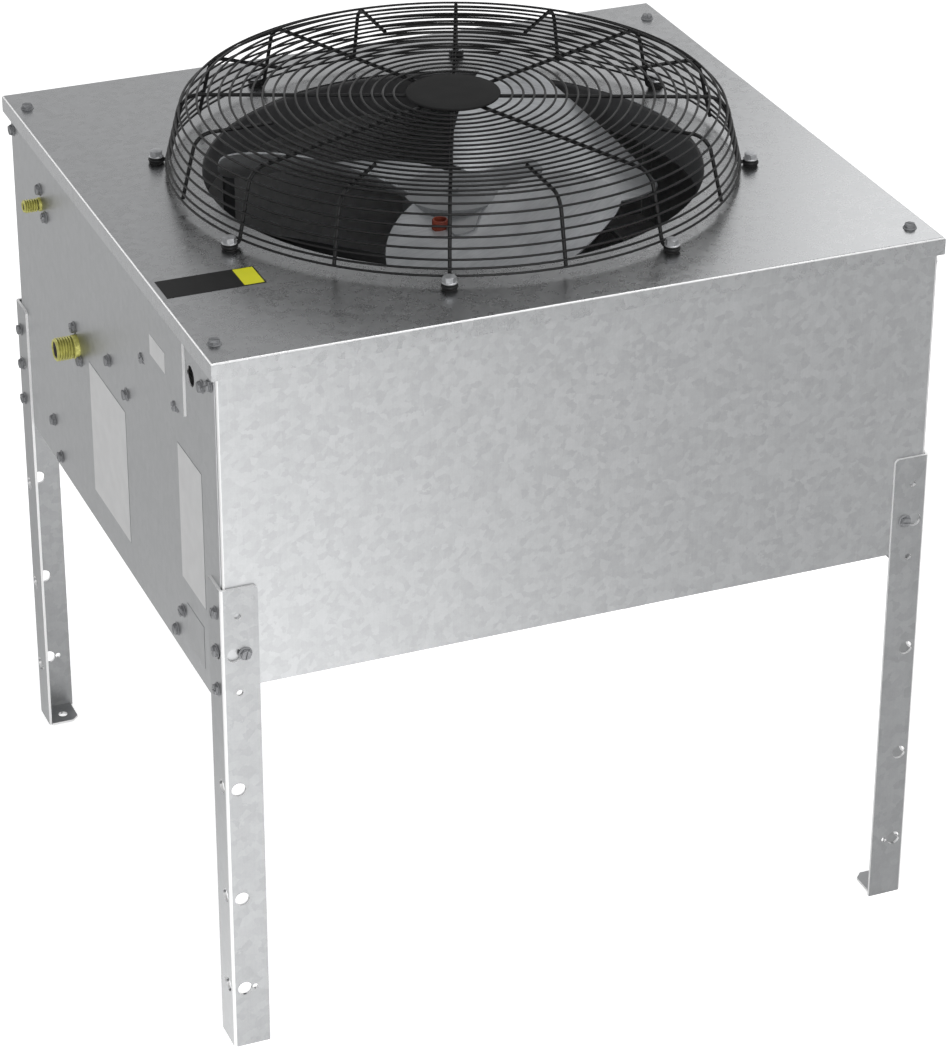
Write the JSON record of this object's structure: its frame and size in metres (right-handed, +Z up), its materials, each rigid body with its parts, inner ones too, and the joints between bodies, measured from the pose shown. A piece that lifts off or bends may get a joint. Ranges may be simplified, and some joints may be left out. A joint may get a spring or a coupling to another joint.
{
  "type": "remote condenser",
  "caption": "Remote air-cooled condenser: sheet-metal housing on angle legs, flat coil across its bottom, upward fan under a round wire guard, threaded pipe fittings on one side.",
  "frame": {"origin": "on the floor, at the centre of the four anchor holes in the feet", "axes": "+Z up along the fan's axis, the front at -Y, the pipe fittings at -X"},
  "size_m": [0.8215, 0.743, 0.8936],
  "materials": {
    "galvanised_sheet": "semi-gloss spangle",
    "galvanised_plate": "satin",
    "aluminium_fins": "satin",
    "copper_pipe": "satin",
    "motor_paint": "semi-gloss",
    "blade_sheet": "mill finish",
    "ring_paint": "semi-gloss",
    "guard_coating": "semi-gloss powder coat",
    "rubber": "matte",
    "zinc_bolts": "bright zinc",
    "yellow_zinc": "yellow passivated zinc"
  },
  "bodies": {
    "cabinet": {"back_panel": "galvanised_sheet", "coil_end_left": "galvanised_sheet", "coil_end_right": "galvanised_sheet", "coil_fins": "aluminium_fins", "coil_rail_back": "galvanised_sheet", "coil_rail_front": "galvanised_sheet", "discharge_fitting": "yellow_zinc", "fan_motor": "motor_paint", "fan_ring": "ring_paint", "front_panel": "galvanised_sheet", "gas_pipe": "copper_pipe", "guard_bolts": "zinc_bolts", "guard_grommets": "rubber", "guard_hub": "guard_coating", "guard_side_1": "guard_coating", "guard_side_2": "guard_coating", "guard_side_3": "guard_coating", "guard_side_4": "guard_coating", "guard_side_5": "guard_coating", "guard_side_6": "guard_coating", "guard_side_7": "guard_coating", "guard_side_8": "guard_coating", "guard_top": "guard_coating", "junction_cover": "galvanised_sheet", "left_panel": "galvanised_sheet", "leg_back_left": "galvanised_plate", "leg_back_right": "galvanised_plate", "leg_front_left": "galvanised_plate", "leg_front_right": "galvanised_plate", "liquid_fitting": "yellow_zinc", "liquid_pipe": "copper_pipe", "motor_arm_1": "motor_paint", "motor_arm_2": "motor_paint", "motor_arm_3": "motor_paint", "motor_arm_4": "motor_paint", "motor_band": "motor_paint", "right_panel": "galvanised_sheet", "top_panel": "galvanised_sheet"},
    "rotor": {"fan_hub": "blade_sheet", "fan_blades": "blade_sheet"}
  },
  "joints": [
    {"name": "fan_spin", "type": "hinge", "parent": "cabinet", "child": "rotor", "pos_m": [0, 0, 0.782], "axis": [0, 0, 1], "continuous": true}
  ]
}
